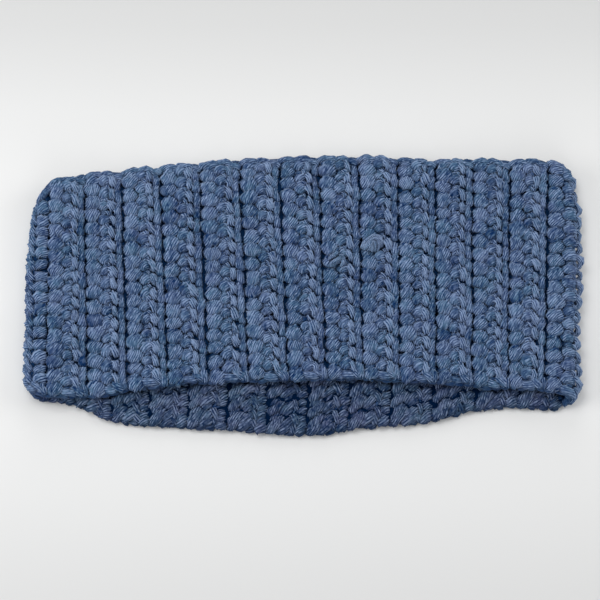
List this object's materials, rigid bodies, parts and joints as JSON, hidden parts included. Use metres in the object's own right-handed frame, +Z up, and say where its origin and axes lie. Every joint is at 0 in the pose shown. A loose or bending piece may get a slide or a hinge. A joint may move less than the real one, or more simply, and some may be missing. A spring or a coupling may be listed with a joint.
{
  "type": "infinity scarf",
  "caption": "Ribbed crochet infinity scarf, a short closed loop of thick steel-blue yarn, laid flat with its near mouth a little open.",
  "frame": {"origin": "on the table, under the centre of the flat scarf's bounding box", "axes": "+X along the flat width towards the fold away from the seam, +Y along the ribs towards the far mouth, +Z up from the table"},
  "size_m": [0.3314, 0.1776, 0.0166],
  "materials": {
    "steel_blue_yarn": "soft matt wool-look yarn with a faint sheen",
    "pale_yarn_end": "loosened yarn plies, a little lighter"
  },
  "bodies": {
    "root": {"upper_stretch": "steel_blue_yarn", "lower_stretch": "steel_blue_yarn", "joining_seam": "steel_blue_yarn", "yarn_join_left": "pale_yarn_end", "yarn_join_right": "pale_yarn_end"}
  },
  "joints": []
}
